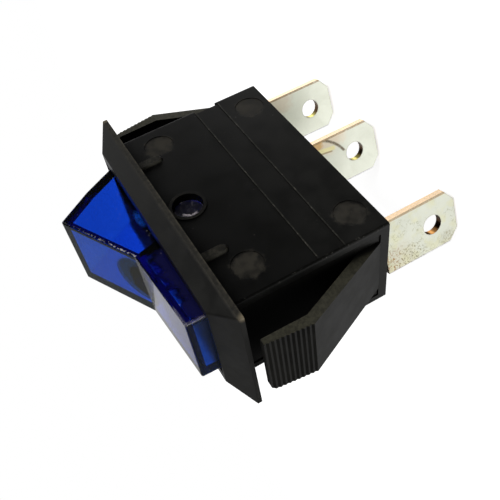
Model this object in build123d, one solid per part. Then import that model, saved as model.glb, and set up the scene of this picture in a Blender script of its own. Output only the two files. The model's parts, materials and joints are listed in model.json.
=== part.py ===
from build123d import *
import math
import os

# A snap-in rocker switch. Millimetres. The origin is the centre of the bezel's underside, where the
# panel's face lies. +Z points out of the panel through the rocker, +X along the long side.

# ---- Bezel
bezel_length = 32.5
bezel_width = 15.65
bezel_rim = 0.48            # height of the bezel's upright edge
bezel_height = 2.29
bezel_end_bevel = 3.25      # how far each end slopes in, from the edge to the front face
bezel_side_bevel = 1.5
bezel_corner = 0.25

# ---- Body and its cavity
body_length = 26.9
body_width = 12.0
body_depth = 17.43
body_corner = 0.3
side_wall = 1.06
end_wall = 0.65
rear_wall = 1.2
end_recess_depth = 0.15     # the end walls are thinned between two upright margins
end_recess_margin = 1.0
side_rib_places = (-8.4, 7.0)   # round-ended ribs under the bezel, which steady the body in the cut-out
side_rib_width = 1.4
side_rib_drop = 3.1
side_rib_height = 0.3
side_rib_slope = 40         # degrees, of the ribs' flanks
witness_line_drops = (9.47, 12.41)
witness_line_width = 0.16
witness_line_height = 0.06
ejector_radius = 1.67
ejector_depth = 0.05
ejector_places = ((-10.4, -3.6), (10.0, -3.6), (-10.1, -15.1), (10.1, -15.1))
key_notch_depth = 0.6       # notch in the corner at the -X end
key_notch_width = 0.7
key_notch_drops = (9.4, 12.2)

# ---- Snap arms
arm_root_drop = 16.4
arm_crease_drop = 5.77
arm_crease_reach = 18.1
arm_tip_drop = 0.8
arm_tip_reach = 17.5
arm_thickness = 1.25        # along X, on the slope
arm_tip_thickness = 0.75
arm_root_width = 7.6
arm_tip_width = 8.5
arm_corner = 0.9            # at the -Y side of each tip
arm_sharp_corner = 0.25     # at the +Y side
arm_rib_count = 10
arm_rib_height = 0.1

# ---- Pivot and rocker
hinge_drop = 2.23
hinge_place = -0.2          # the pivot sits a little to the -X side of the middle
pivot_radius = 1.65
pivot_clearance = 0.06
pivot_rim_width = 0.35
pivot_rim_height = 0.1
pivot_boss_recess = 0.8     # the boss stops this far inside the big side
rest_tilt = 15.8            # degrees; the +X end is pressed, and the other stop is the same the other way
rocker_side_gap = 0.12
rocker_end_gap = 0.2
valley_rise = 7.5           # heights and reaches of the rocker's outline, from the hinge, with the rocker level
tip_rise = 9.62
tip_reach = 10.0
bend_rise = 5.2
bend_reach = 11.45
shoulder_rise = 1.05
skirt_drop = 0.74
rocker_face_wall = 0.85
rocker_side_wall = 1.1
rocker_edge = 0.22
hinge_ear_radius = 2.7
web_thickness = 1.0
web_rise = 1.0

# ---- Plunger and its spring
plunger_radius = 1.35
plunger_clearance = 0.08
plunger_foot_radius = 0.9
plunger_reach = 8.3         # from the hinge to the centre of the plunger's foot
plunger_top_drop = 0.5
plunger_neck = 0.9
barrel_wall = 1.15
barrel_drop = 3.6
bore_rise = 3.2
spring_wire = 0.28
spring_radius = 1.0
spring_turns = 6
spring_end_gap = 0.05
plunger_contact_gap = 0.3

# ---- Seesaw contact
strip_thickness = 0.5
strip_width = 5.0
strip_valley_angle = 16.0   # degrees, of the middle V that the plunger rides in
strip_arm_angle = 9.0       # degrees; also how far the seesaw tips each way
strip_valley_reach = 3.6
strip_closing_arm = 5.1     # length of the arm that carries the contact
strip_free_arm = 2.4
lug_radius = 0.4            # the lugs are coined round
lug_clearance = 0.05
notch_gap = 0.3
contact_radius = 1.5
contact_height = 0.6
contact_gap = 0.05
contact_inset = 1.9         # from the strip's end to the contact's axis
shank_radius = 0.75
rivet_tail_radius = 1.15
rivet_tail_height = 0.35
rivet_hole_gap = 0.02

# ---- Blade terminals
blade_width = 6.3
blade_thickness = 0.8
blade_projection = 9.78     # below the body's rear face
blade_twist = 19.1          # degrees; each blade is twisted to lock it in its slot
blade_tip_length = 1.1
blade_tip_inset = 1.33
blade_hole_radius = 1.13
blade_hole_from_tip = 3.05
neck_width = 3.6
neck_twist_length = 0.6
slot_gap = 0.05
line_wall_gap = 0.28        # from the end wall to each end terminal
lamp_wall_gap = 0.62
common_place = -2.4
ledge_length = 6.1
ledge_pad_place = 2.2       # from the line terminal's blade to the pad under its ledge
ledge_pad_width = 1.6
ledge_pad_gap = 0.02
common_base_end = 1.6
common_cheek_width = 3.2
common_cheek_gap = 0.05
common_cheek_rise = 0.6
lamp_terminal_rise = 5.23   # its height above the cavity's floor

# ---- Lamp, resistor and wires
lamp_place = 8.7
lamp_rise = 6.23            # heights above the cavity's floor
lamp_radius = 2.0
lamp_length = 7.2
lamp_seal_length = 1.0
cradle_gap = 0.04
cradle_width = 3.4
cradle_thickness = 0.8
cradle_spacing = 4.4
resistor_place = 4.6
resistor_radius = 0.9
resistor_length = 4.2
resistor_waist = 0.12
wire_radius = 0.2
wire_bend = 0.5
wire_end_gap = 0.02
lead_spread = 0.6           # each lamp lead leaves this far from the lamp's axis
lead_row = 4.35             # the row along the side wall in which the lamp's leads run
common_joint_rise = 2.63
resistor_lead_row = 2.95
sleeve_wall = 0.15
sleeve_gap = 0.02
sleeve_length = 3.0
solder_radius = 0.5

# ---- Sizes that follow from the ones above
half_length = body_length / 2
cavity_half_length = half_length - end_wall
cavity_half_width = body_width / 2 - side_wall
floor_z = rear_wall - body_depth
hinge_z = -hinge_drop
rocker_half_width = cavity_half_width - rocker_side_gap
rocker_end_radius = cavity_half_length - abs(hinge_place) - rocker_end_gap
strip_z = hinge_z - plunger_reach - plunger_foot_radius - plunger_contact_gap - strip_thickness / 2
line_place = line_wall_gap + blade_thickness / 2 - cavity_half_length
lamp_terminal_place = cavity_half_length - lamp_wall_gap - blade_thickness / 2
resistor_z = floor_z + resistor_radius + wire_end_gap
lamp_z = floor_z + lamp_rise
common_joint_z = floor_z + common_joint_rise
common_cheek_face = hinge_place + common_cheek_width / 2


def block(x, y, z):
    """A box, each axis given as its lowest and highest value."""
    size = [high - low for low, high in (x, y, z)]
    middle = [(low + high) / 2 for low, high in (x, y, z)]
    return Pos(*middle) * Box(*size)


def slab(points, half_width):
    """An outline in the XZ plane, widened to both sides of Y = 0."""
    return extrude(Plane.XZ * Polygon(*points, align=None), amount=half_width, both=True)


def rod_along_y(x, z, radius, y_low, y_high):
    """A round rod along Y."""
    return Pos(x, (y_low + y_high) / 2, z) * Rot(90, 0, 0) * Cylinder(radius, y_high - y_low)


def both_sides(shape):
    """A shape and its mirror image across Y = 0."""
    return shape + mirror(shape, Plane.XZ)


def on_rocker(shape):
    """Moves a shape from the hinge, with the rocker level, to where the rocker rests."""
    return Pos(hinge_place, 0, hinge_z) * Rot(0, rest_tilt, 0) * shape


def on_seesaw(shape):
    """Moves a shape from the seesaw's pivot, with the seesaw level, to where the seesaw rests."""
    return Pos(hinge_place, 0, strip_z) * Rot(0, -strip_arm_angle, 0) * shape


# ---- Housing
def bezel():
    """The sloped frame around the rocker."""
    foot = RectangleRounded(bezel_length, bezel_width, bezel_corner)
    face = RectangleRounded(
        bezel_length - 2 * bezel_end_bevel, bezel_width - 2 * bezel_side_bevel, bezel_corner
    )
    rim = extrude(foot, bezel_rim)
    slope = loft([Pos(0, 0, bezel_rim) * foot, Pos(0, 0, bezel_height) * face])
    return rim + slope


def snap_arm():
    """The arm at the +X end: it slopes out to a crease, and its ribbed end turns back to the bezel."""
    crease = Vector(arm_crease_reach, -arm_crease_drop)
    tip = Vector(arm_tip_reach, -arm_tip_drop)
    step = (tip - crease) / arm_rib_count
    teeth = []
    for rib in range(arm_rib_count):
        peak = crease + step * rib
        teeth.append((peak.X, peak.Y))
        valley = crease + step * (rib + 0.5)
        teeth.append((valley.X - arm_rib_height, valley.Y))
    root_inside = half_length - end_wall / 2
    slope = (arm_crease_drop - arm_root_drop) / (half_length - arm_crease_reach)
    inner_root_z = -arm_root_drop + slope * (root_inside - half_length + arm_thickness)
    outline = [
        (root_inside, -arm_root_drop),
        (half_length, -arm_root_drop),
        *teeth,
        (tip.X, tip.Y),
        (tip.X - arm_tip_thickness, tip.Y),
        (crease.X - arm_thickness, crease.Y),
        (root_inside, inner_root_z),
    ]
    flank = Polygon(
        (-arm_root_width / 2, -arm_root_drop),
        (arm_root_width / 2, -arm_root_drop),
        (arm_tip_width / 2, -arm_crease_drop),
        (arm_tip_width / 2, -arm_tip_drop),
        (-arm_tip_width / 2, -arm_tip_drop),
        (-arm_tip_width / 2, -arm_crease_drop),
        align=None,
    )
    flank = fillet(flank.vertices().group_by(Axis.Y)[-1].sort_by(Axis.X)[0], arm_corner)
    flank = fillet(flank.vertices().group_by(Axis.Y)[-1].sort_by(Axis.X)[-1], arm_sharp_corner)
    side_view = slab(outline, arm_tip_width)
    return side_view & extrude(Plane.YZ * flank, amount=arm_crease_reach + arm_thickness)


def end_recess():
    """The thinned patch of the end wall behind the +X arm."""
    return block(
        (half_length - end_recess_depth, half_length + end_recess_depth),
        (end_recess_margin - body_width / 2, body_width / 2 - end_recess_margin),
        (-arm_root_drop, 0),
    )


def side_ribs():
    """The ribs on the +Y side: they start in the bezel's foot and end round below it."""
    straight = side_rib_drop - side_rib_width / 2
    end = Pos(0, -straight) * Circle(side_rib_width / 2)
    stem = Pos(0, (bezel_rim - straight) / 2) * Rectangle(side_rib_width, bezel_rim + straight)
    rib = extrude(Plane.XZ * (stem + end), amount=-side_rib_height, taper=side_rib_slope)
    return Part() + [Pos(place, body_width / 2, 0) * rib for place in side_rib_places]


def pivot_rim():
    """The low collar around the pivot hole in the +Y side."""
    face = body_width / 2
    outer = pivot_radius + pivot_rim_width
    return rod_along_y(hinge_place, hinge_z, outer, face - pivot_rim_height, face + pivot_rim_height)


def side_marks():
    """Flash lines along the +Y side."""
    face = body_width / 2
    lines = [
        block(
            (-half_length + body_corner, half_length - body_corner),
            (face - witness_line_height, face + witness_line_height),
            (-drop - witness_line_width / 2, -drop + witness_line_width / 2),
        )
        for drop in witness_line_drops
    ]
    return Part() + lines


def ejector_dents():
    """Round marks of the mould's ejector pins in the +Y side."""
    face = body_width / 2
    return Part() + [
        rod_along_y(x, z, ejector_radius, face - ejector_depth, face + ejector_depth) for x, z in ejector_places
    ]


def key_notch():
    """The notch in the corner at the -X end."""
    return block(
        (-half_length - key_notch_depth, key_notch_depth - half_length),
        (body_width / 2 - key_notch_width, body_width / 2 + key_notch_width),
        (-key_notch_drops[1], -key_notch_drops[0]),
    )


def terminal_slot(place):
    """The slot in the rear wall that a terminal's neck passes through."""
    return block(
        (place - blade_thickness / 2 - slot_gap, place + blade_thickness / 2 + slot_gap),
        (-neck_width / 2 - slot_gap, neck_width / 2 + slot_gap),
        (-body_depth - rear_wall, floor_z + rear_wall),
    )


def ledge_pad():
    """The rib under the line terminal's ledge."""
    start = line_place + ledge_pad_place
    return block(
        (start, start + ledge_pad_width),
        (-blade_width / 2, blade_width / 2),
        (floor_z, ledge_top_z() - blade_thickness - ledge_pad_gap),
    )


def lamp_cradle():
    """Two ribs on the floor with round saddles under the lamp."""
    rib = block(
        (lamp_place - cradle_width / 2, lamp_place + cradle_width / 2),
        ((cradle_spacing - cradle_thickness) / 2, (cradle_spacing + cradle_thickness) / 2),
        (floor_z, lamp_z - cradle_gap),
    )
    saddle = rod_along_y(lamp_place, lamp_z, lamp_radius + cradle_gap, -body_width, body_width)
    return both_sides(rib - saddle)


def housing():
    body = block((-half_length, half_length), (-body_width / 2, body_width / 2), (-body_depth, bezel_rim))
    body = fillet(body.edges().filter_by(Axis.Z), body_corner)
    sides = side_marks() + pivot_rim() + side_ribs()
    arms = snap_arm() + mirror(snap_arm(), Plane.YZ)
    recesses = end_recess() + mirror(end_recess(), Plane.YZ)
    cavity = block(
        (-cavity_half_length, cavity_half_length),
        (-cavity_half_width, cavity_half_width),
        (floor_z, bezel_height + rear_wall),
    )
    shell = body - recesses
    shell = shell + both_sides(sides) + arms + bezel()
    shell = shell - both_sides(ejector_dents()) - cavity - key_notch()
    shell = shell - rod_along_y(hinge_place, hinge_z, pivot_radius, -body_width, body_width)
    for place in (line_place, common_place, lamp_terminal_place):
        shell = shell - terminal_slot(place)
    return shell + ledge_pad() + lamp_cradle()


# ---- Rocker
def rocker_outline(bottom):
    """Corners of the level rocker's side view, from the hinge, down to the given height."""
    shoulder_reach = math.sqrt(rocker_end_radius**2 - shoulder_rise**2)
    right = [
        (tip_reach, tip_rise),
        (bend_reach, bend_rise),
        (shoulder_reach, shoulder_rise),
        (shoulder_reach, bottom),
    ]
    left = [(-x, z) for x, z in reversed(right)]
    return [(0, valley_rise), *right, *left]


def rocker_blank():
    """The rocker before it is hollowed: a V-shaped face and ends that turn about the hinge."""
    outline = rocker_outline(-hinge_ear_radius)
    blank = slab(outline, rocker_half_width)
    blank = fillet(blank.edges().filter_by(Axis.Y).group_by(Axis.Z)[-1], rocker_edge)
    side_faces = blank.faces().filter_by(Axis.Y)
    return fillet(side_faces.edges().filter_by(lambda e: e.center().Z > -skirt_drop), rocker_edge)


def rocker_hollow():
    """The space under the rocker's face."""
    outline = Plane.XZ * Polygon(*rocker_outline(-3 * hinge_ear_radius), align=None)
    inner = offset(outline, -rocker_face_wall, kind=Kind.INTERSECTION)
    return extrude(inner, amount=rocker_half_width - rocker_side_wall, both=True)


def hinge_ear():
    """The +Y side's round ear, with its pivot boss."""
    inner = rocker_half_width - rocker_side_wall
    ear = rod_along_y(0, 0, hinge_ear_radius, inner, rocker_half_width)
    boss_end = body_width / 2 - pivot_boss_recess
    return ear + rod_along_y(0, 0, pivot_radius - pivot_clearance, inner, boss_end)


def rocker():
    below = block(
        (-2 * rocker_end_radius, 2 * rocker_end_radius),
        (-body_width, body_width),
        (-4 * hinge_ear_radius, -skirt_drop),
    )
    shell = rocker_blank() - rocker_hollow() - below
    bore_radius = plunger_radius + plunger_clearance
    barrel_top = valley_rise - rocker_face_wall / 2
    barrel = Pos(0, 0, (barrel_top - barrel_drop) / 2) * Cylinder(
        bore_radius + barrel_wall, barrel_top + barrel_drop
    )
    web = block(
        (-web_thickness / 2, web_thickness / 2),
        (rocker_side_wall / 2 - rocker_half_width, rocker_half_width - rocker_side_wall / 2),
        (web_rise, valley_rise - rocker_face_wall / 2),
    )
    bore = Pos(0, 0, (bore_rise - barrel_drop) / 2) * Cylinder(bore_radius, bore_rise + barrel_drop)
    return on_rocker(shell + both_sides(hinge_ear()) + web + barrel - bore)


# ---- Plunger and spring
def plunger():
    """A round pin with a domed foot, and a shoulder that the spring presses on."""
    neck_top = -plunger_reach + plunger_neck + plunger_radius - plunger_foot_radius
    profile = Polygon(
        (0, -plunger_reach),
        (plunger_foot_radius, -plunger_reach),
        (plunger_foot_radius, -plunger_reach + plunger_neck),
        (plunger_radius, neck_top),
        (plunger_radius, -plunger_top_drop),
        (0, -plunger_top_drop),
        align=None,
    )
    pin = revolve(Plane.XZ * profile, Axis.Z)
    foot = Pos(0, 0, -plunger_reach) * Sphere(plunger_foot_radius)
    return on_rocker(pin + foot)


def plunger_spring():
    low = -plunger_top_drop + spring_wire / 2 + spring_end_gap
    high = bore_rise - spring_wire / 2 - spring_end_gap
    path = Pos(0, 0, low) * Helix((high - low) / spring_turns, high - low, spring_radius)
    section = Plane(origin=path @ 0, z_dir=path % 0) * Circle(spring_wire / 2)
    return on_rocker(sweep(section, path=path))


# ---- Seesaw contact
def strip_half(arm_length):
    """Middle line of half the seesaw, from its pivot to one end, with the seesaw level."""
    valley = math.radians(strip_valley_angle)
    arm = math.radians(strip_arm_angle)
    knee = (strip_valley_reach, strip_valley_reach * math.tan(valley))
    end = (knee[0] + arm_length * math.cos(arm), knee[1] + arm_length * math.sin(arm))
    return [knee, end]


def closing_contact_place():
    """Where the contact sits on the closing arm: its distance from the pivot and its height."""
    arm = math.radians(strip_arm_angle)
    _, end = strip_half(strip_closing_arm)
    return -(end[0] - contact_inset * math.cos(arm)), end[1] - contact_inset * math.sin(arm)


def on_closing_arm(shape):
    """Moves a shape from the contact's place on the strip to where it rests."""
    x, z = closing_contact_place()
    return on_seesaw(Pos(x, 0, z) * Rot(0, strip_arm_angle, 0) * shape)


def resting_contact_place():
    """The contact's place with the seesaw at rest."""
    x, z = closing_contact_place()
    tip = math.radians(strip_arm_angle)
    rest_x = hinge_place + x * math.cos(tip) - z * math.sin(tip)
    return rest_x, strip_z + x * math.sin(tip) + z * math.cos(tip)


def moving_contact():
    """The bent strip that tips on two lugs."""
    free = strip_half(strip_free_arm)
    closing = [(-x, z) for x, z in strip_half(strip_closing_arm)]
    line = [closing[1], closing[0], (0, 0), free[0], free[1]]
    top = [(x, z + strip_thickness / 2) for x, z in line]
    underside = [(x, z - strip_thickness / 2) for x, z in reversed(line)]
    strip = slab(top + underside, strip_width / 2)
    lug_reach = cavity_half_width - common_cheek_gap
    lug = rod_along_y(0, 0, lug_radius, -lug_reach, lug_reach)
    hole = Cylinder(shank_radius + rivet_hole_gap, 4 * strip_thickness)
    return on_seesaw(strip + lug) - on_closing_arm(hole)


def rivet(grip):
    """A contact rivet, its head below the gripped metal and its formed tail above."""
    head = Pos(0, 0, -(grip + contact_height) / 2) * Cylinder(contact_radius, contact_height)
    shank = Cylinder(shank_radius, grip)
    tail = Pos(0, 0, (grip + rivet_tail_height) / 2) * Cylinder(rivet_tail_radius, rivet_tail_height)
    return head + shank + tail


def moving_contact_rivet():
    return on_closing_arm(rivet(strip_thickness))


def fixed_contact_rivet():
    x, _ = resting_contact_place()
    return Pos(x, 0, ledge_top_z() - blade_thickness / 2) * Rot(180, 0, 0) * rivet(blade_thickness)


# ---- Terminals
def ledge_top_z():
    """Height of the line terminal's ledge, under the closed contacts."""
    _, z = resting_contact_place()
    return z - strip_thickness / 2 - 2 * contact_height - contact_gap


def blade(place):
    """A terminal's outside blade, with its neck up to the cavity's floor."""
    top = -body_depth - neck_twist_length
    tip = -body_depth - blade_projection
    half = blade_width / 2
    outline = Polygon(
        (-half, top),
        (half, top),
        (half, tip + blade_tip_length),
        (half - blade_tip_inset, tip),
        (blade_tip_inset - half, tip),
        (-half, tip + blade_tip_length),
        align=None,
    )
    plate = extrude(Plane.YZ * outline, amount=blade_thickness / 2, both=True)
    hole_z = tip + blade_hole_from_tip
    plate = plate - Pos(0, 0, hole_z) * Rot(0, 90, 0) * Cylinder(blade_hole_radius, 4 * blade_thickness)
    section = Rectangle(blade_thickness, neck_width)
    twist = loft([Pos(0, 0, top) * Rot(0, 0, blade_twist) * section, Pos(0, 0, -body_depth) * section])
    neck = Pos(0, 0, (floor_z - body_depth) / 2) * Box(blade_thickness, neck_width, rear_wall)
    return Pos(place, 0, 0) * (Rot(0, 0, blade_twist) * plate + twist + neck)


def line_terminal():
    """Blade, upright against the end wall, and a ledge that carries the fixed contact."""
    top = ledge_top_z()
    half = blade_width / 2
    upright = block(
        (line_place - blade_thickness / 2, line_place + blade_thickness / 2), (-half, half), (floor_z, top)
    )
    ledge = block(
        (line_place - blade_thickness / 2, line_place + ledge_length), (-half, half), (top - blade_thickness, top)
    )
    x, _ = resting_contact_place()
    hole = Pos(x, 0, top) * Cylinder(shank_radius + rivet_hole_gap, 4 * blade_thickness)
    return blade(line_place) + upright + ledge - hole


def common_terminal():
    """Blade, a base on the floor, and two notched cheeks that carry the seesaw."""
    outer = cavity_half_width - common_cheek_gap
    base = block(
        (common_place - blade_thickness / 2, common_base_end), (-outer, outer), (floor_z, floor_z + blade_thickness)
    )
    cheek = block(
        (hinge_place - common_cheek_width / 2, common_cheek_face),
        (outer - blade_thickness, outer),
        (floor_z, strip_z + strip_thickness / 2 + common_cheek_rise),
    )
    seat = rod_along_y(hinge_place, strip_z, lug_radius + lug_clearance, 0, body_width)
    mouth = block(
        (hinge_place - lug_radius - notch_gap, hinge_place + lug_radius + notch_gap),
        (0, body_width),
        (strip_z, 0),
    )
    return blade(common_place) + base + both_sides(cheek - seat - mouth)


def lamp_terminal():
    """Blade, and an upright that the resistor's lead is soldered to."""
    upright = block(
        (lamp_terminal_place - blade_thickness / 2, lamp_terminal_place + blade_thickness / 2),
        (-blade_width / 2, blade_width / 2),
        (floor_z, floor_z + lamp_terminal_rise),
    )
    return blade(lamp_terminal_place) + upright


# ---- Lamp and resistor
def neon_lamp():
    """A sealed bulb along Y, with a pinched seal at the +Y end."""
    half = lamp_length / 2
    seal_start = half - lamp_seal_length
    glass = rod_along_y(lamp_place, lamp_z, lamp_radius, -half, seal_start)
    glass = fillet(glass.edges().group_by(Axis.Y)[0], lamp_radius * 0.8)
    glass = fillet(glass.edges().group_by(Axis.Y)[-1], lamp_radius * 0.4)
    seal = block(
        (lamp_place - lamp_radius / 2, lamp_place + lamp_radius / 2),
        (seal_start - lamp_seal_length, half),
        (lamp_z - lamp_radius / 4, lamp_z + lamp_radius / 4),
    )
    return glass + seal


def resistor():
    """A resistor along Y, with a waist between its two end caps."""
    half = resistor_length / 2
    body = rod_along_y(resistor_place, resistor_z, resistor_radius, -half, half)
    ring = rod_along_y(resistor_place, resistor_z, 2 * resistor_radius, -half / 2, half / 2)
    core = rod_along_y(resistor_place, resistor_z, resistor_radius - resistor_waist, -half / 2, half / 2)
    return body - (ring - core)


def wire(*points):
    """A round wire along straight runs joined by bends."""
    path = FilletPolyline(*points, radius=wire_bend)
    section = Plane(origin=path @ 0, z_dir=path % 0) * Circle(wire_radius)
    return sweep(section, path=path)


def lamp_lead_common():
    x = lamp_place - lead_spread
    start = lamp_length / 2 + wire_end_gap
    return wire(
        (x, start, lamp_z),
        (x, lead_row, lamp_z),
        (x, lead_row, common_joint_z),
        (common_cheek_face + wire_end_gap, lead_row, common_joint_z),
    )


def lamp_lead_resistor():
    x = lamp_place + lead_spread
    start = lamp_length / 2 + wire_end_gap
    return wire(
        (x, start, lamp_z),
        (x, lead_row, lamp_z),
        (x, lead_row, resistor_z),
        (resistor_place, lead_row, resistor_z),
        (resistor_place, resistor_length / 2 + wire_end_gap, resistor_z),
    )


def resistor_lead():
    end = lamp_terminal_place - blade_thickness / 2 - wire_end_gap
    return wire(
        (resistor_place, -resistor_length / 2 - wire_end_gap, resistor_z),
        (resistor_place, -resistor_lead_row, resistor_z),
        (end, -resistor_lead_row, resistor_z),
    )


def lead_sleeve():
    """The insulating sleeve on the upright run of the lead to the resistor."""
    middle = (lamp_z + resistor_z) / 2
    inner = wire_radius + sleeve_gap
    ring = Cylinder(inner + sleeve_wall, sleeve_length) - Cylinder(inner, sleeve_length)
    return Pos(lamp_place + lead_spread, lead_row, middle) * ring


def solder_bead(x, y, z, wire_end):
    """A bead around a wire's end, flat against the metal, with the wire's own space left open."""
    reach = math.copysign(2 * solder_radius, wire_end - x)
    bead = Pos(x, y, z) * Sphere(solder_radius)
    low, high = sorted((x, x + reach))
    side = block((low, high), (y - solder_radius, y + solder_radius), (z - solder_radius, z + solder_radius))
    run = Pos(x, y, z) * Rot(0, 90, 0) * Cylinder(wire_radius + wire_end_gap, 4 * solder_radius)
    return (bead & side) - run


def common_solder_joint():
    end = common_cheek_face + solder_radius
    return solder_bead(common_cheek_face, lead_row, common_joint_z, end)


def lamp_solder_joint():
    face = lamp_terminal_place - blade_thickness / 2
    return solder_bead(face, -resistor_lead_row, resistor_z, face - solder_radius)


sub_parts = {
    "housing": housing,
    "rocker": rocker,
    "plunger": plunger,
    "plunger_spring": plunger_spring,
    "moving_contact": moving_contact,
    "moving_contact_rivet": moving_contact_rivet,
    "fixed_contact_rivet": fixed_contact_rivet,
    "line_terminal": line_terminal,
    "common_terminal": common_terminal,
    "lamp_terminal": lamp_terminal,
    "neon_lamp": neon_lamp,
    "resistor": resistor,
    "lamp_lead_common": lamp_lead_common,
    "lamp_lead_resistor": lamp_lead_resistor,
    "resistor_lead": resistor_lead,
    "lead_sleeve": lead_sleeve,
    "common_solder_joint": common_solder_joint,
    "lamp_solder_joint": lamp_solder_joint,
}

os.makedirs("parts", exist_ok=True)
for node, make in sub_parts.items():
    export_step(make(), f"parts/{node}.step")
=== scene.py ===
import json
import math

import bpy
from mathutils import Matrix, Vector


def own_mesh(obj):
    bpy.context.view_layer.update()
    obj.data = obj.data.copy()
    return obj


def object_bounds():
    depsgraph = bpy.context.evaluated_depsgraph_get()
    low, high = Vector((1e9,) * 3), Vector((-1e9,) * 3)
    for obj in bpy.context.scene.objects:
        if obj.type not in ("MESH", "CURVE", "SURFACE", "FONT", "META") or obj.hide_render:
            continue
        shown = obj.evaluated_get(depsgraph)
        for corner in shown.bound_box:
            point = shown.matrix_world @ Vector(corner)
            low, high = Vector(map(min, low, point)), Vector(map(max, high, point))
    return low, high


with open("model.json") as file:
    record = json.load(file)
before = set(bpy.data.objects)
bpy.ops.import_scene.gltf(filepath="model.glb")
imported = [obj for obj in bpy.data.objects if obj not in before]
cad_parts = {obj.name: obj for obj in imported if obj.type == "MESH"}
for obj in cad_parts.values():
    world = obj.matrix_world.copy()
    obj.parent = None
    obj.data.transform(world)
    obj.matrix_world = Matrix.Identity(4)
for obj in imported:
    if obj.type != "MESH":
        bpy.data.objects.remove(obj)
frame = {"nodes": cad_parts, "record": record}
cad_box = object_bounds()
MM = 0.001


# ---- Camera: a close view from the +X, +Y side, just above the bezel's front plane
CAMERA_PLACE = Vector((47.82, 56.33, 10.79)) * MM
CAMERA_LOOK = Vector((-0.5974, -0.7667, -0.2351))
CAMERA_RIGHT = Vector((0.4880, -0.1149, -0.8653))
SENSOR_WIDTH = 36.0
CAMERA_LENS = 49.39
CAMERA_NEAR = 0.001
CAMERA_FAR = 10.0


def add_camera():
    look = CAMERA_LOOK.normalized()
    right = (CAMERA_RIGHT - look * CAMERA_RIGHT.dot(look)).normalized()
    up = right.cross(look)
    turn = Matrix((right, up, -look)).transposed().to_4x4()
    data = bpy.data.cameras.new("camera")
    data.sensor_width = SENSOR_WIDTH
    data.lens = CAMERA_LENS
    data.clip_start = CAMERA_NEAR
    data.clip_end = CAMERA_FAR
    camera = bpy.data.objects.new("camera", data)
    camera.matrix_world = Matrix.Translation(CAMERA_PLACE) @ turn
    bpy.context.scene.collection.objects.link(camera)
    bpy.context.scene.camera = camera


add_camera()


# ---- Node helpers. A mask is 1 where a thing shows and 0 elsewhere.
FLAT_DOT = 0.995    # the rounded normal's dot product with the face's own, where a face is flat
EDGE_DOT = 0.90     # and beside an edge


def is_socket(value):
    return hasattr(value, "is_output")


class Nodes:
    """A node tree, with short calls for the nodes used here."""

    def __init__(self, tree):
        self.nodes = tree.nodes
        self.links = tree.links

    def add(self, kind, **settings):
        node = self.nodes.new(kind)
        for key, value in settings.items():
            setattr(node, key, value)
        return node

    def put(self, value, socket):
        """Links an output to a socket, or sets the socket to a plain value."""
        if is_socket(value):
            self.links.new(value, socket)
        else:
            socket.default_value = value

    def math(self, operation, a, b=0.0):
        node = self.add("ShaderNodeMath", operation=operation)
        self.put(a, node.inputs[0])
        self.put(b, node.inputs[1])
        return node.outputs[0]

    def fold(self, operation, values):
        result = values[0]
        for value in values[1:]:
            result = self.math(operation, result, value)
        return result

    def every(self, *masks):
        """The product of several masks."""
        return self.fold("MULTIPLY", masks)

    def most(self, *masks):
        """The largest of several masks."""
        return self.fold("MAXIMUM", masks)

    def share(self, mask, amount):
        return self.math("MULTIPLY", mask, amount)

    def size(self, value):
        return self.math("ABSOLUTE", value)

    def vector_math(self, operation, a, b=None):
        node = self.add("ShaderNodeVectorMath", operation=operation)
        self.put(a, node.inputs[0])
        if b is not None:
            self.put(b, node.inputs[1])
        return node.outputs

    def stretch(self, vector, scale):
        return self.vector_math("MULTIPLY", vector, scale)["Vector"]

    def distance(self, vector, centre):
        return self.vector_math("DISTANCE", vector, centre)["Value"]

    def dot(self, vector, direction):
        return self.vector_math("DOT_PRODUCT", vector, direction)["Value"]

    def split(self, vector):
        node = self.add("ShaderNodeSeparateXYZ")
        self.put(vector, node.inputs[0])
        return node.outputs

    def ramp(self, value, low, high, out_low=0.0, out_high=1.0):
        """value between low and high, smoothly carried to out_low..out_high."""
        node = self.add("ShaderNodeMapRange", interpolation_type="SMOOTHSTEP")
        self.put(value, node.inputs["Value"])
        node.inputs["From Min"].default_value = low
        node.inputs["From Max"].default_value = high
        node.inputs["To Min"].default_value = out_low
        node.inputs["To Max"].default_value = out_high
        return node.outputs["Result"]

    def band(self, value, middle, half_width, soft):
        """1 where a value lies within half_width of the middle."""
        away = self.size(self.math("SUBTRACT", value, middle))
        return self.ramp(away, half_width + soft, half_width)

    def choose(self, amount, a, b):
        """The number a where amount is 0, and b where it is 1."""
        node = self.add("ShaderNodeMix", data_type="FLOAT")
        self.put(amount, node.inputs[0])
        self.put(a, node.inputs[2])
        self.put(b, node.inputs[3])
        return node.outputs[0]


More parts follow.
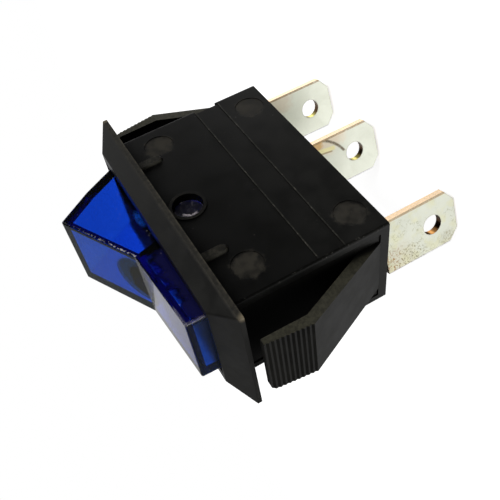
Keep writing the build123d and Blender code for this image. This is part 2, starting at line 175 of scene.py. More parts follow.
class Shader(Nodes):
    """The node tree of a new material."""

    def __init__(self, name):
        self.material = bpy.data.materials.new(name)
        self.material.use_nodes = True
        super().__init__(self.material.node_tree)
        self.nodes.clear()
        self.output = self.add("ShaderNodeOutputMaterial")

    def place(self):
        """The place in the object's own frame, in millimetres."""
        return self.stretch(self.add("ShaderNodeTexCoord").outputs["Object"], (1 / MM, 1 / MM, 1 / MM))

    def face_normal(self):
        return self.add("ShaderNodeTexCoord").outputs["Normal"]

    def noise(self, vector, per_mm, detail=3.0, roughness=0.5):
        node = self.add("ShaderNodeTexNoise")
        self.put(vector, node.inputs["Vector"])
        node.inputs["Scale"].default_value = per_mm
        node.inputs["Detail"].default_value = detail
        node.inputs["Roughness"].default_value = roughness
        return node.outputs["Fac"]

    def speckle(self, vector, per_mm):
        node = self.add("ShaderNodeTexVoronoi", feature="F1")
        self.put(vector, node.inputs["Vector"])
        node.inputs["Scale"].default_value = per_mm
        return node.outputs["Distance"]

    def mix(self, amount, a, b):
        """The colour a where amount is 0, and b where it is 1."""
        node = self.add("ShaderNodeMix", data_type="RGBA")
        self.put(amount, node.inputs[0])
        for colour, socket in ((a, node.inputs[6]), (b, node.inputs[7])):
            self.put(colour if is_socket(colour) else (*colour, 1.0), socket)
        return node.outputs[2]

    def coats(self, colour, *coats):
        """A colour with coats laid over it in turn, each given by its mask and its own colour."""
        for mask, coat in coats:
            colour = self.mix(mask, colour, coat)
        return colour

    def bump(self, height, depth_mm, strength=1.0, normal=None):
        node = self.add("ShaderNodeBump")
        self.put(height, node.inputs["Height"])
        node.inputs["Distance"].default_value = depth_mm * MM
        node.inputs["Strength"].default_value = strength
        if normal is not None:
            self.links.new(normal, node.inputs["Normal"])
        return node.outputs[0]

    def rounded(self, radius_mm):
        """A normal that turns smoothly over sharp edges."""
        node = self.add("ShaderNodeBevel", samples=6)
        node.inputs["Radius"].default_value = radius_mm * MM
        return node.outputs[0]

    def edges(self, radius_mm):
        """1 beside a sharp edge and 0 on flat faces."""
        own_normal = self.add("ShaderNodeNewGeometry").outputs["Normal"]
        return self.ramp(self.dot(self.rounded(radius_mm), own_normal), FLAT_DOT, EDGE_DOT)

    def open_air(self, reach_mm):
        """1 on open faces, falling towards 0 in tight hollows."""
        node = self.add("ShaderNodeAmbientOcclusion", samples=8)
        node.inputs["Distance"].default_value = reach_mm * MM
        return node.outputs["AO"]

    def principled(self, **values):
        node = self.add("ShaderNodeBsdfPrincipled")
        for name, value in values.items():
            socket = node.inputs[name.replace("_", " ")]
            if isinstance(value, tuple) and len(value) == 3 and socket.type == "RGBA":
                value = (*value, 1.0)
            self.put(value, socket)
        self.links.new(node.outputs[0], self.output.inputs["Surface"])


def paint(node, material):
    mesh = frame["nodes"][node].data
    mesh.materials.clear()
    mesh.materials.append(material)


def scaled(colour, amount):
    return tuple(part * amount for part in colour)


# ---- Black nylon of the housing. Places and sizes are in millimetres.
EJECTOR_MARKS = ((-10.4, -3.6), (10.0, -3.6), (-10.1, -15.1), (10.1, -15.1))
EJECTOR_RADIUS = 1.67
WITNESS_LINE_DROPS = (9.47, 12.41)
WITNESS_LINE_REACH = 12.9
SCUFFS = (((-7.5, 6.0, -9.6), 3.2), ((9.0, 6.0, -12.8), 2.6), ((10.6, 6.0, -15.9), 1.6))
# Two bezel corners with a painted highlight
HIGHLIGHT_CORNERS = ((16.2, 7.8, 0.0), (-16.2, 7.8, 0.3))
CORNER_HIGHLIGHT_REACH = (0.75, 0.15)    # how far from a corner the painted highlight starts, and is full
BODY_SIDE = 6.0                     # half widths
BEZEL_SIDE = 7.8
ARM_SIDE = 4.3
ARM_START = 13.6                    # reaches along X from the middle
ARM_RIBS_START = 16.9
ARM_RIBS_DROP = 5.85
DARK_TO_DROP = 4.0                  # the big sides' painted shade is darkest down to here
PLAIN_FROM_DROP = 17.0              # and plain from here on
NYLON_DEEP = (0.0036, 0.0035, 0.0026)
NYLON_PALE = (0.0080, 0.0077, 0.0057)
BIG_SIDE_SHADE_COLOUR = (0.0012, 0.0012, 0.0008)
HOLLOW_SHADE_COLOUR = (0.0015, 0.0015, 0.0014)
LINE_COLOUR = (0.026, 0.025, 0.020)
LINE_BIT_COLOUR = (0.09, 0.085, 0.07)
RIB_COLOUR = (0.036, 0.033, 0.023)
RIB_FLANK_HIGHLIGHT_COLOUR = (0.060, 0.057, 0.043)
EJECTOR_COLOUR = (0.030, 0.026, 0.018)
RIM_COLOUR = (0.026, 0.023, 0.015)
RIM_LOW_COLOUR = (0.060, 0.052, 0.033)
ARM_EDGE_COLOUR = (0.054, 0.051, 0.033)
WORN_COLOUR = (0.050, 0.045, 0.032)
CORNER_HIGHLIGHT_COLOUR = (0.16, 0.13, 0.08)
CHIPPED_COLOUR = (0.07, 0.068, 0.06)
DUST_COLOUR = (0.07, 0.065, 0.06)
SCUFF_COLOUR = (0.045, 0.045, 0.040)


class NylonShader(Shader):
    """Satin black, paler where the mould or use has marked it, with painted shade in hollows and on the big
    sides under the bezel, and painted highlights on two bezel corners and on the ribs' +X-facing flanks.
    """

    def __init__(self):
        super().__init__("black_nylon")
        self.spot = self.place()
        axes = self.split(self.spot)
        self.along = self.size(axes["X"])
        self.out = self.size(axes["Y"])
        self.height = axes["Z"]
        self.facing = self.split(self.face_normal())
        self.nicks = self.ramp(self.noise(self.spot, 2.6, detail=4.0, roughness=0.75), 0.35, 0.65)
        self.bits = self.noise(self.spot, 3.2, detail=3.0, roughness=0.8)
        self.blotch = self.noise(self.spot, 0.35, detail=4.0, roughness=0.6)
        self.big_side = self.every(
            self.ramp(self.out, BODY_SIDE - 0.4, BODY_SIDE - 0.2), self.ramp(self.height, -0.05, -0.2)
        )
        # Painted shade on the big sides, darkest under the bezel and gone lower down.
        self.shaded_big_side = self.every(self.big_side, self.ramp(self.height, -PLAIN_FROM_DROP, -DARK_TO_DROP))
        self.rim = self.every(
            self.ramp(self.out, BEZEL_SIDE - 0.2, BEZEL_SIDE - 0.02), self.ramp(self.height, -0.1, 0.0)
        )
        self.upright_edge = self.every(
            self.ramp(self.size(self.facing["X"]), 0.08, 0.25),
            self.ramp(self.size(self.facing["Y"]), 0.08, 0.25),
            self.ramp(self.out, BODY_SIDE + 0.3, BODY_SIDE + 0.1),
        )
        self.marks = self.ejector_marks()
        # Painted shade: 1 on open faces, falling towards 0 in hollows, where colour and gloss are darkened.
        self.unshaded = self.ramp(self.open_air(9.0), 0.38, 0.92)

    def nicked(self, least):
        """The nicks' pattern, never under the least value."""
        return self.ramp(self.nicks, 0.0, 1.0, least, 1.0)

    def near(self, centre, start, full):
        return self.ramp(self.distance(self.spot, centre), start, full)

    def ejector_marks(self):
        flat = self.stretch(self.spot, (1.0, 0.0, 1.0))
        ragged = self.ramp(self.noise(self.spot, 1.1, detail=4.0, roughness=0.6), 0.3, 0.7, -0.35, 0.35)
        blots = []
        for x, z in EJECTOR_MARKS:
            away = self.math("ADD", self.distance(flat, (x, 0.0, z)), ragged)
            blots.append(self.ramp(away, EJECTOR_RADIUS + 0.25, EJECTOR_RADIUS - 0.35))
        clouds = self.ramp(self.noise(self.spot, 0.9, detail=3.0), 0.3, 0.62, 0.35, 1.0)
        return self.every(self.most(*blots), self.big_side, clouds)

    def scuffs(self):
        near = self.most(*[self.near(centre, radius, radius * 0.3) for centre, radius in SCUFFS])
        return self.every(near, self.ramp(self.noise(self.spot, 5.0, detail=3.0, roughness=0.8), 0.56, 0.68))

    def witness_lines(self):
        lines = self.most(*[self.band(self.height, -drop, 0.05, 0.08) for drop in WITNESS_LINE_DROPS])
        return self.every(
            lines,
            self.ramp(self.out, BODY_SIDE - 0.1, BODY_SIDE - 0.02),
            self.ramp(self.along, WITNESS_LINE_REACH + 0.4, WITNESS_LINE_REACH),
        )

    def side_ribs(self):
        """The short ribs that stand proud of the big sides, under the bezel."""
        return self.every(
            self.ramp(self.out, BODY_SIDE + 0.02, BODY_SIDE + 0.2),
            self.ramp(self.height, -0.02, -0.1),
            self.ramp(self.height, -3.3, -1.2, 0.3, 1.0),
        )

    def arm_edges(self):
        return self.every(
            self.ramp(self.along, ARM_START, ARM_START + 0.6),
            self.ramp(self.size(self.facing["Y"]), 0.5, 0.9),
            self.ramp(self.out, ARM_SIDE + 0.3, ARM_SIDE),
        )

    def dust(self):
        specks = self.ramp(self.speckle(self.spot, 1.1), 0.12, 0.05)
        return self.every(specks, self.ramp(self.noise(self.spot, 0.5), 0.52, 0.66))

    def colour(self):
        lines = self.witness_lines()
        ribs = self.side_ribs()
        worn = self.every(self.ramp(self.out, BEZEL_SIDE - 0.5, BEZEL_SIDE - 0.2), self.edges(0.14), self.nicks)
        corners = self.most(*[self.near(corner, *CORNER_HIGHLIGHT_REACH) for corner in HIGHLIGHT_CORNERS])
        plain = self.mix(self.ramp(self.blotch, 0.35, 0.7), NYLON_DEEP, NYLON_PALE)
        marked = self.coats(
            plain,
            # painted shade on the big sides under the bezel
            (self.share(self.shaded_big_side, 0.9), BIG_SIDE_SHADE_COLOUR),
            (self.every(lines, self.ramp(self.bits, 0.30, 0.60, 0.25, 1.0)), LINE_COLOUR),
            (self.every(lines, self.ramp(self.bits, 0.57, 0.66)), LINE_BIT_COLOUR),
            (self.every(ribs, self.nicked(0.4)), RIB_COLOUR),
            # painted highlight on the ribs' +X-facing flanks
            (self.every(ribs, self.ramp(self.facing["X"], 0.3, 0.55)), RIB_FLANK_HIGHLIGHT_COLOUR),
            (self.marks, EJECTOR_COLOUR),
            (self.every(self.rim, self.nicked(0.35)), RIM_COLOUR),
            (self.every(self.rim, self.ramp(self.height, 0.22, 0.02), self.nicks), RIM_LOW_COLOUR),
            (self.every(self.arm_edges(), self.nicked(0.5)), ARM_EDGE_COLOUR),
            (self.share(worn, 0.6), WORN_COLOUR),
            # painted highlight on two bezel corners
            (corners, CORNER_HIGHLIGHT_COLOUR),
            (self.every(self.upright_edge, self.ramp(self.bits, 0.60, 0.68)), CHIPPED_COLOUR),
            (self.share(self.dust(), 0.6), DUST_COLOUR),
            (self.share(self.scuffs(), 0.5), SCUFF_COLOUR),
        )
        # Painted shade: the colour darkens in hollows.
        return self.mix(self.unshaded, HOLLOW_SHADE_COLOUR, marked)

    def gloss(self):
        arm_ribs = self.every(
            self.ramp(self.along, ARM_RIBS_START, ARM_RIBS_START + 0.2),
            self.ramp(self.height, -ARM_RIBS_DROP, 0.2 - ARM_RIBS_DROP),
        )
        # Gloss drops with the painted shade in hollows and on the big sides under the bezel, and on the arm's
        # ribs and the upright edges.
        return self.every(
            self.ramp(self.unshaded, 0.0, 1.0, 0.05, 0.5),
            self.ramp(self.shaded_big_side, 0.0, 1.0, 1.0, 0.65),
            self.ramp(arm_ribs, 0.0, 1.0, 1.0, 0.72),
            self.ramp(self.upright_edge, 0.0, 1.0, 1.0, 0.45),
        )

    def done(self):
        rough = self.ramp(self.blotch, 0.3, 0.7, 0.38, 0.50)
        rough = self.math("ADD", rough, self.share(self.most(self.marks, self.rim), 0.15))
        grain = self.noise(self.spot, 9.0, detail=2.0)
        height = self.math("ADD", grain, self.every(self.nicks, self.share(self.rim, 1.5)))
        self.principled(
            Base_Color=self.colour(),
            Roughness=rough,
            IOR=1.5,
            Specular_IOR_Level=self.gloss(),
            Normal=self.bump(height, 0.012, 0.35, self.rounded(0.03)),
        )
        return self.material


# ---- Translucent blue of the rocker, by the places where it rests. Sizes are in millimetres.
FACET_NORMAL = (0.465, 0.0, 0.885)      # the face of the raised half
FACET_EDGE_REACH = 5.13                 # how far along that normal its rounded edges lie
END_NORMAL = (1.0, 0.0, 0.0)
ROCKER_SIDE = 4.82                      # half width
PIVOT_AXIS = (-0.2, 0.0, -2.23)
BOSS_PROUD = 4.95
BOSS_RADIUS = 1.6
# A painted highlight arc on the boss
BOSS_GLINT = (0.45, 5.2, -2.05)
GLINT_ARC_MIDDLE = (-0.98, 0.0, -2.53)
GLINT_ARC_RADIUS = 1.42
# A painted spot of light on the seen side
LIGHT_SPOT_PLACE = (-1.2, 4.8, 3.25)
LIGHT_SPOT_STRETCH = (0.45, 1.0, 1.3)
# where a painted highlight lies on the edges
VALLEY_CORNER = (1.7, 4.9, 5.05)
BARREL_BEHIND = (1.57, 0.7, 5.13)       # where the plunger's barrel stands behind the raised face, with painted shade laid around it
BARREL_SHADE_RADIUS = 3.1
CLEAR_TINT = (0.9, 0.95, 1.0)
FACET_SHADE_TINT = (0.55, 0.95, 0.76)
BARREL_SHADE_TINT = (0.20, 0.26, 0.07)
END_SHADE_TINT = (0.60, 0.74, 0.56)
BOSS_SHADE_TINT = (0.12, 0.12, 0.24)
LIGHT_SPOT_TINT = (0.01, 0.14, 0.95)
LOW_SIDE_SHADE_TINT = (0.007, 0.007, 0.065)
GLINT_AND_SCRATCH_TINT = (0.80, 0.72, 0.74)
CHIP_AND_HIGHLIGHT_TINT = (0.95, 0.90, 0.92)
CREASE_HIGHLIGHT_TINT = (0.98, 0.82, 0.88)
ABSORBED_COLOUR = (0.04, 0.48, 0.885, 1.0)
ABSORBED_DENSITY = 2500.0


class BlueShader(Shader):
    """Clear blue, with haze and tints for handling and chips, and with painted shade, painted highlights and a
    painted spot of light.
    """

    def __init__(self):
        super().__init__("blue_rocker")
        self.spot = self.place()
        self.axes = self.split(self.spot)
        self.flat = self.stretch(self.spot, (1.0, 0.0, 1.0))
        self.out = self.size(self.axes["Y"])
        self.facing = self.face_normal()
        self.specks = self.noise(self.spot, 2.2, detail=3.0)
        self.peel = self.noise(self.spot, 2.6, detail=3.0, roughness=0.6)
        self.facet = self.ramp(self.dot(self.facing, FACET_NORMAL), 0.955, 0.985)
        self.boss = self.every(
            self.ramp(self.out, BOSS_PROUD, BOSS_PROUD + 0.1),
            self.ramp(self.distance(self.flat, PIVOT_AXIS), BOSS_RADIUS + 0.1, BOSS_RADIUS),
        )

    def end_face(self):
        return self.every(
            self.ramp(self.dot(self.facing, END_NORMAL), 0.85, 0.95), self.ramp(self.axes["X"], 9.0, 10.0)
        )

    # Painted shade on the raised face around the barrel behind it.
    def barrel_shade(self):
        away = self.distance(self.spot, BARREL_BEHIND)
        return self.every(self.facet, self.ramp(away, BARREL_SHADE_RADIUS + 0.35, BARREL_SHADE_RADIUS))

    def chips_and_highlight(self):
        """White chips on sharp edges, white dots along the rounded edge between the raised face and the seen
        side, and a painted highlight on the edges by the valley corner.
        """
        grains = self.ramp(self.noise(self.spot, 3.0, detail=3.0, roughness=0.8), 0.52, 0.62)
        # A painted highlight on the edges near the valley corner.
        corner = self.ramp(self.distance(self.spot, VALLEY_CORNER), 1.2, 0.5)
        white_dots = self.every(
            self.ramp(self.axes["Y"], ROCKER_SIDE - 0.14, ROCKER_SIDE - 0.08),
            self.band(self.dot(self.spot, FACET_NORMAL), FACET_EDGE_REACH, 0.06, 0.05),
            self.ramp(self.axes["X"], -6.0, 0.0, 0.1, 0.62),
            self.ramp(self.axes["X"], 2.1, 1.8),
            self.ramp(self.noise(self.spot, 3.6, detail=2.0, roughness=0.7), 0.50, 0.58),
        )
        return self.most(self.every(self.edges(0.16), self.most(grains, corner)), white_dots)

    def dust(self):
        specks = self.ramp(self.speckle(self.spot, 1.6), 0.11, 0.05)
        return self.every(specks, self.ramp(self.noise(self.spot, 0.6), 0.45, 0.6))

    def low_side_shade(self):
        """Painted shade on the seen side of the pressed half, darker lower down, with ragged blotches."""
        ragged = self.ramp(self.noise(self.spot, 0.8, detail=1.0), 0.3, 0.7, -0.5, 0.5)
        return self.every(
            self.ramp(self.split(self.facing)["Y"], 0.9, 0.97),
            self.ramp(self.axes["Y"], 4.55, 4.7),
            self.ramp(self.axes["X"], 1.8, 3.0),
            self.ramp(self.math("ADD", self.axes["Z"], ragged), 4.3, 2.3),
        )

    def end_crease_highlight(self):
        """A painted highlight on the upright corners of the end face."""
        return self.every(
            self.edges(0.3),
            self.ramp(self.axes["X"], 9.3, 9.8),
            self.ramp(self.out, 4.4, 4.6),
            self.ramp(self.peel, 0.3, 0.5, 0.5, 1.0),
        )

    def highlight_and_scratches(self):
        """A painted highlight arc and scratches on the boss in its hole."""
        arc = self.every(
            self.boss,
            self.band(self.distance(self.flat, GLINT_ARC_MIDDLE), GLINT_ARC_RADIUS, 0.10, 0.14),
            self.ramp(self.distance(self.spot, BOSS_GLINT), 1.1, 0.6),
            self.ramp(self.peel, 0.35, 0.5),
        )
        streaks = self.noise(self.stretch(self.spot, (1.0, 1.0, 2.2)), 1.5, detail=4.0)
        scratch = self.every(
            self.boss, self.band(streaks, 0.5, 0.004, 0.012), self.ramp(self.peel, 0.4, 0.6, 0.1, 0.5)
        )
        return self.most(arc, scratch)

    def roughness(self):
        inside = self.ramp(self.open_air(4.0), 0.75, 0.45)
        return self.most(
            self.ramp(self.specks, 0.35, 0.75, 0.04, 0.14),
            self.every(inside, self.ramp(self.axes["X"], 4.5, 7.5, 0.06, 0.28)),
            self.share(self.boss, 0.3),
        )

    def done(self):
        end, painted_barrel_shade, low_side_shade = self.end_face(), self.barrel_shade(), self.low_side_shade()
        chips_and_highlight, dust, crease_highlight, highlight_and_scratches = self.chips_and_highlight(), self.dust(), self.end_crease_highlight(), self.highlight_and_scratches()
        # Painted light: a bright blue spot on the seen side, laid as tint and haze.
        from_light_spot = self.distance(self.stretch(self.spot, LIGHT_SPOT_STRETCH), LIGHT_SPOT_PLACE)
        glow = self.every(self.ramp(from_light_spot, 0.75, 0.25), self.ramp(self.peel, 0.35, 0.6, 0.4, 1.0))
        mottle = self.noise(self.spot, 3.4, detail=2.0, roughness=0.5)
        # Haze is the opaque share: it also lays the painted shade of the low side and the barrel, the painted
        # light spot and the painted highlights.
        haze = self.most(
            self.every(self.facet, self.ramp(mottle, 0.36, 0.64, 0.004, 0.022)),
            self.share(end, 0.026),
            self.share(self.boss, 0.06),
            self.share(chips_and_highlight, 0.6),
            self.share(dust, 0.35),
            self.share(painted_barrel_shade, 0.02),
            self.share(glow, 0.45),
            self.ramp(low_side_shade, 0.2, 1.0, 0.0, 0.75),
            self.share(highlight_and_scratches, 0.6),
            crease_highlight,
        )
        tint = self.coats(
            CLEAR_TINT,
            # painted shade: a darker, greener tint on the raised face
            (self.facet, FACET_SHADE_TINT),
            # painted shade around the barrel behind the raised face
            (painted_barrel_shade, BARREL_SHADE_TINT),
            # painted shade: a darker tint on the end face
            (end, END_SHADE_TINT),
            # painted shade on the boss in its hole
            (self.boss, BOSS_SHADE_TINT),
            # painted light: the bright blue spot on the seen side
            (self.ramp(from_light_spot, 0.9, 0.75), LIGHT_SPOT_TINT),
            # painted shade on the seen side of the pressed half
            (self.ramp(low_side_shade, 0.0, 0.3), LOW_SIDE_SHADE_TINT),
            # painted highlight arc and scratches on the boss
            (highlight_and_scratches, GLINT_AND_SCRATCH_TINT),
            # chips and dust, with a painted highlight by the valley corner
            (self.most(chips_and_highlight, dust), CHIP_AND_HIGHLIGHT_TINT),
            # painted highlight on the end face's upright corners
            (crease_highlight, CREASE_HIGHLIGHT_TINT),
        )
        height = self.math("ADD", self.specks, self.share(self.every(self.facet, self.peel), 3.0))
        self.principled(
            Base_Color=tint,
            Roughness=self.roughness(),
            IOR=1.49,
            Transmission_Weight=self.math("SUBTRACT", 1.0, haze),
            Normal=self.bump(height, 0.01, 0.25, self.rounded(0.10)),
        )
        volume = self.add("ShaderNodeVolumeAbsorption")
        volume.inputs["Color"].default_value = ABSORBED_COLOUR
        volume.inputs["Density"].default_value = ABSORBED_DENSITY
        self.links.new(volume.outputs[0], self.output.inputs["Volume"])
        return self.material


# ---- Metals
BLADE_TWIST = math.radians(19.1)
BLADE_HALF_WIDTH = 3.15
BLADE_HOLE_Z = -24.16
BLADE_HOLE_RADIUS = 1.13
TIN = (0.83, 0.85, 0.73)
BRASS = (0.97, 0.72, 0.47)
BORE_YELLOW = (0.80, 0.70, 0.22)
BORE_ORANGE = (0.92, 0.45, 0.14)
BORE_SHADE_COLOUR = (0.10, 0.05, 0.02)
TIN_METALLIC = 0.72
CUT_ROUGHNESS = 0.22


class BladeShader(Shader):
    """Tinned brass with bare cut edges, for the blade whose neck stands at x."""

    def __init__(self, name, x, painted_brightness=1.0, bore_colour=BORE_YELLOW):
        super().__init__(name)
        self.bore_colour = bore_colour
        sine, cosine = math.sin(BLADE_TWIST), math.cos(BLADE_TWIST)
        self.spot = self.place()
        self.across = self.math("ADD", self.dot(self.spot, (-sine, cosine, 0.0)), x * sine)
        self.height = self.split(self.spot)["Z"]
        self.facing = self.face_normal()
        squareness = self.size(self.dot(self.facing, (cosine, sine, 0.0)))
        self.cut = self.ramp(squareness, 0.75, 0.45)
        self.cloud = self.noise(self.spot, 0.6, detail=5.0, roughness=0.65)
        self.fleck = self.noise(self.spot, 3.5, detail=4.0, roughness=0.7)
        # The tin's colour is scaled blade by blade: painted light and shade.
        self.tin = self.mix(self.ramp(self.cloud, 0.35, 0.7), scaled(TIN, 0.92 * painted_brightness), scaled(TIN, painted_brightness))

    def away_from(self, across, height):
        """The distance from a point of the blade."""
        node = self.add("ShaderNodeCombineXYZ")
        self.put(self.math("SUBTRACT", self.across, across), node.inputs[0])
        self.put(self.math("SUBTRACT", self.height, height), node.inputs[1])
        return self.vector_math("LENGTH", node.outputs[0])["Value"]

    def blot(self, across, height, radius):
        """1 near a point of the blade, ragged at its border."""
        ragged = self.ramp(self.cloud, 0.3, 0.7, -0.4, 0.4)
        return self.ramp(self.math("ADD", self.away_from(across, height), ragged), radius, radius * 0.35)

    def stain(self, mask, amount, colour):
        self.tin = self.mix(self.share(mask, amount), self.tin, colour)

    def done(self):
        outline = self.every(self.edges(0.3), self.ramp(self.fleck, 0.3, 0.6, 0.3, 1.0))
        self.stain(outline, 0.5, (0.48, 0.46, 0.40))
        seam = self.every(
            self.ramp(self.across, BLADE_HALF_WIDTH - 0.3, BLADE_HALF_WIDTH - 0.2),
            self.ramp(self.fleck, 0.3, 0.5, 0.35, 1.0),
        )
        self.stain(seam, 0.75, (0.42, 0.27, 0.12))
        lower_edge = self.ramp(self.across, 0.15 - BLADE_HALF_WIDTH, 0.05 - BLADE_HALF_WIDTH)
        self.stain(lower_edge, 0.6, (0.66, 0.64, 0.72))
        bore = self.ramp(self.away_from(0.0, BLADE_HOLE_Z), BLADE_HOLE_RADIUS + 0.35, BLADE_HOLE_RADIUS + 0.2)
        upward = self.ramp(self.split(self.facing)["Z"], 0.2, 0.8)
        brass = self.mix(self.ramp(self.fleck, 0.35, 0.65), scaled(BRASS, 0.85), BRASS)
        # Painted shade on the bore's upward-facing wall.
        brass = self.mix(bore, brass, self.mix(upward, self.bore_colour, BORE_SHADE_COLOUR))
        self.principled(
            Base_Color=self.mix(self.cut, self.tin, brass),
            Metallic=self.ramp(self.cut, 0.0, 1.0, TIN_METALLIC, 1.0),
            Roughness=self.choose(self.cut, self.ramp(self.cloud, 0.3, 0.7, 0.34, 0.48), CUT_ROUGHNESS),
            Normal=self.bump(self.fleck, 0.012, 0.4, self.rounded(0.04)),
        )
        return self.material


def line_blade():
    s = BladeShader("tinned_brass_line", -12.12, painted_brightness=1.17)
    s.stain(s.blot(2.6, -20.5, 2.2), 0.35, (0.86, 0.62, 0.42))
    return s.done()


def common_blade():
    """This blade has a scribed arc, bare yellowed metal by the body, and a painted highlight with painted shade
    beside it along a bent tongue.
    """
    s = BladeShader("tinned_brass_common", -2.4, painted_brightness=1.12)
    s.stain(s.blot(3.3, -21.5, 2.6), 0.5, (0.92, 0.68, 0.46))
    s.stain(s.blot(2.9, -19.4, 1.0), 0.8, (0.80, 0.48, 0.16))
    slanted = s.math("ADD", s.across, s.share(s.height, -0.13))
    # A painted highlight along a bent tongue, with painted shade beside it.
    streak_highlight = s.every(s.band(slanted, 4.45, 0.2, 0.12), s.band(s.height, -20.6, 1.0, 0.3))
    s.stain(streak_highlight, 1.0, (1.0, 0.92, 0.52))
    shade = s.every(s.band(slanted, 4.1, 0.05, 0.1), s.band(s.height, -20.3, 0.9, 0.3))
    s.stain(shade, 0.7, (0.40, 0.26, 0.08))
    ring = s.band(s.away_from(-1.58, -18.29), 5.10, 0.05, 0.2)
    scribe = s.every(ring, s.band(s.across, 1.85, 1.0, 0.3), s.ramp(s.fleck, 0.3, 0.55, 0.5, 1.0))
    s.stain(scribe, 1.0, (0.22, 0.18, 0.12))
    return s.done()


def lamp_blade():
    """This blade is speckled brown along its -Y side, and scratched."""
    s = BladeShader("tinned_brass_lamp", 11.78, painted_brightness=0.93, bore_colour=BORE_ORANGE)
    s.stain(s.blot(-2.6, -19.4, 3.2), 0.45, (0.60, 0.54, 0.38))
    s.stain(s.ramp(s.noise(s.spot, 0.8, detail=2.0), 0.45, 0.7), 0.5, (0.74, 0.72, 0.44))
    s.stain(s.ramp(s.height, -18.7, -17.8), 0.5, (0.62, 0.60, 0.32))
    veins = s.band(s.noise(s.spot, 0.9, detail=3.0, roughness=0.6), 0.5, 0.006, 0.014)
    s.stain(s.every(veins, s.ramp(s.noise(s.spot, 0.5), 0.45, 0.6)), 0.45, (0.38, 0.38, 0.22))
    spots = s.ramp(s.noise(s.spot, 4.6, detail=3.0, roughness=0.6), 0.50, 0.62)
    s.stain(s.every(s.blot(-2.4, -18.4, 2.8), spots), 1.0, (0.40, 0.25, 0.12))
    s.stain(s.every(s.blot(-2.7, -21.2, 2.6), spots), 1.0, (0.34, 0.32, 0.20))
    s.stain(s.every(s.blot(-2.4, -25.8, 1.5), s.ramp(spots, 0.0, 1.0, 0.3, 1.0)), 1.0, (0.44, 0.42, 0.30))
    return s.done()


def plain_metal(name, colour, roughness):
    s = Shader(name)
    cloud = s.noise(s.place(), 1.5, detail=4.0)
    tone = s.mix(s.ramp(cloud, 0.3, 0.7), scaled(colour, 0.8), colour)
    rough = s.ramp(cloud, 0.3, 0.7, roughness * 0.8, roughness * 1.2)
    s.principled(Base_Color=tone, Metallic=1.0, Roughness=rough, Normal=s.bump(cloud, 0.01, 0.3))
    return s.material


# ---- Plastics and glass inside the housing
def plain_plastic(name, colour, roughness):
    s = Shader(name)
    place = s.place()
    cloud = s.noise(place, 1.0, detail=3.0)
    tone = s.mix(s.ramp(cloud, 0.3, 0.7), scaled(colour, 0.85), colour)
    s.principled(Base_Color=tone, Roughness=roughness, Normal=s.bump(s.noise(place, 8.0), 0.01, 0.3))
    return s.material


def lamp_glass():
    s = Shader("lamp_glass")
    rough = s.ramp(s.noise(s.place(), 0.8, detail=2.0), 0.3, 0.8, 0.02, 0.12)
    s.principled(Base_Color=(0.95, 0.90, 0.85), Roughness=rough, IOR=1.45, Transmission_Weight=0.85)
    return s.material


FINISHES = {
    "black_nylon": NylonShader().done(),
    "blue_rocker": BlueShader().done(),
    "natural_nylon": plain_plastic("natural_nylon", (0.72, 0.70, 0.62), 0.4),
    "spring_steel": plain_metal("spring_steel", (0.60, 0.60, 0.60), 0.25),
    "copper_alloy": plain_metal("copper_alloy", (0.75, 0.42, 0.22), 0.3),
    "contact_silver": plain_metal("contact_silver", (0.85, 0.84, 0.82), 0.3),
    "tinned_brass": line_blade(),
    "lamp_glass": lamp_glass(),
    "resistor_coat": plain_plastic("resistor_coat", (0.62, 0.50, 0.32), 0.35),
    "tinned_wire": plain_metal("tinned_wire", (0.75, 0.75, 0.72), 0.25),
    "sleeve_plastic": plain_plastic("sleeve_plastic", (0.80, 0.78, 0.70), 0.5),
    "solder": plain_metal("solder", (0.66, 0.66, 0.66), 0.22),
}
for part in frame["record"]["subparts"]:
    paint(part["node"], FINISHES[part["material_slot"]])
paint("common_terminal", common_blade())
paint("lamp_terminal", lamp_blade())


# ---- The plunger's spring: its reach along its axis is read, and it gets a mesh of its own
SPRING_AXIS = Vector((0.27228, 0.0, 0.96222))


def press_spring():
    spring = frame["nodes"]["plunger_spring"]
    bpy.context.view_layer.update()
    reach = sorted(SPRING_AXIS.dot(spring.matrix_world @ vertex.co) for vertex in spring.data.vertices)
    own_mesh(spring)


press_spring()


# ---- Floor, world and lamps
WHITE = (1.0, 1.0, 1.0, 1.0)
FLOOR_GAP = 0.3 * MM
FLOOR_HALF = 250.0 * MM
FLOOR_COLOURS = ((0.86, 0.86, 0.86), (0.9, 0.9, 0.9))
FLOOR_GLOW = 0.68
ROOM_FOR_DIFFUSE = 0.5

# Soft lights that only reflections show: each one's direction, the cosines where it starts and where
# it is full, and its strength outside and inside.
SOFT_LIGHTS = (
    ((-0.95, -0.30, 0.10), 0.60, 0.88, 0.036, 0.75),    # a broad one, and the dim room around it
    ((0.87, -0.20, -0.42), 0.80, 0.94, 0.0, 1.35),      # for the blades' faces
    ((-0.22, -0.80, 0.56), 0.84, 0.99, 0.0, 0.16),      # for the rocker's raised face
    ((-0.90, 0.15, -0.41), 0.93, 0.98, 0.0, 0.95),      # for the blades' cut edges
    ((0.1, -0.8, -0.6), 0.88, 1.0, 0.0, 0.28),          # for the snap arm's slope
)


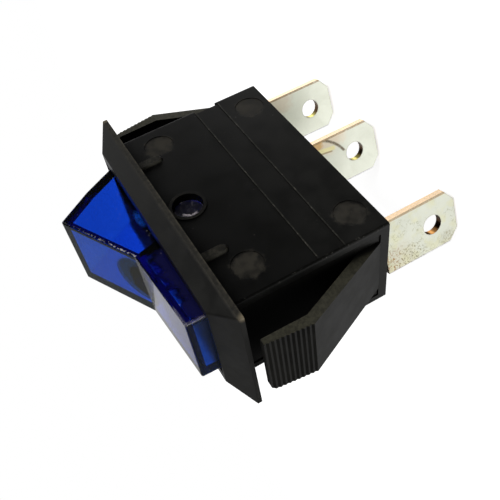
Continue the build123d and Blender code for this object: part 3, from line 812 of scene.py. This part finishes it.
def add_floor():
    z = cad_box[0][2] - FLOOR_GAP
    corners = [(x * FLOOR_HALF, y * FLOOR_HALF, z) for x, y in ((-1, -1), (1, -1), (1, 1), (-1, 1))]
    mesh = bpy.data.meshes.new("floor")
    mesh.from_pydata(corners, [], [(0, 1, 2, 3)])
    floor = bpy.data.objects.new("floor", mesh)
    bpy.context.scene.collection.objects.link(floor)
    s = Shader("floor")
    rays = s.add("ShaderNodeLightPath")
    diffuse = s.add("ShaderNodeBsdfDiffuse")
    grain = s.ramp(s.noise(s.place(), 0.05, detail=2.0), 0.3, 0.7)
    s.put(s.mix(grain, *FLOOR_COLOURS), diffuse.inputs["Color"])
    glow = s.add("ShaderNodeEmission")
    glow.inputs["Color"].default_value = WHITE
    seen = s.most(rays.outputs["Is Camera Ray"], rays.outputs["Is Transmission Ray"])
    s.put(s.share(seen, FLOOR_GLOW), glow.inputs["Strength"])
    both = s.add("ShaderNodeAddShader")
    s.links.new(diffuse.outputs[0], both.inputs[0])
    s.links.new(glow.outputs[0], both.inputs[1])
    s.links.new(both.outputs[0], s.output.inputs["Surface"])
    mesh.materials.append(s.material)
    floor.visible_glossy = False


def set_world():
    """White where the camera or glass looks, soft lights where metal or gloss does, and otherwise even."""
    world = bpy.data.worlds.new("world")
    world.use_nodes = True
    bpy.context.scene.world = world
    w = Nodes(world.node_tree)
    background = w.nodes["Background"]
    background.inputs["Color"].default_value = WHITE
    direction = w.add("ShaderNodeTexCoord").outputs["Generated"]
    lights = []
    for toward, start, full, outside, inside in SOFT_LIGHTS:
        cosine = w.dot(direction, Vector(toward).normalized())
        lights.append(w.ramp(cosine, start, full, outside, inside))
    rays = w.add("ShaderNodeLightPath")
    shown = w.most(rays.outputs["Is Camera Ray"], rays.outputs["Is Transmission Ray"])
    room = w.choose(rays.outputs["Is Glossy Ray"], ROOM_FOR_DIFFUSE, w.fold("ADD", lights))
    w.put(w.choose(shown, room, 1.0), background.inputs["Strength"])


def add_lamp(name, direction, distance, size, power):
    data = bpy.data.lights.new(name, "AREA")
    data.shape = "RECTANGLE"
    data.size, data.size_y = size
    data.energy = power
    lamp = bpy.data.objects.new(name, data)
    middle = (Vector(cad_box[0]) + Vector(cad_box[1])) / 2
    toward = Vector(direction).normalized()
    lamp.location = middle + toward * distance
    lamp.rotation_euler = toward.to_track_quat("Z", "Y").to_euler()
    lamp.visible_camera = False
    bpy.context.scene.collection.objects.link(lamp)


bpy.context.scene.view_settings.view_transform = "Standard"
add_floor()
set_world()
add_lamp("key_lamp", (0.2, 0.75, 0.62), 0.35, (0.10, 0.10), 0.35)
add_lamp("side_lamp", (0.95, -0.15, 0.10), 0.40, (0.15, 0.15), 0.15)
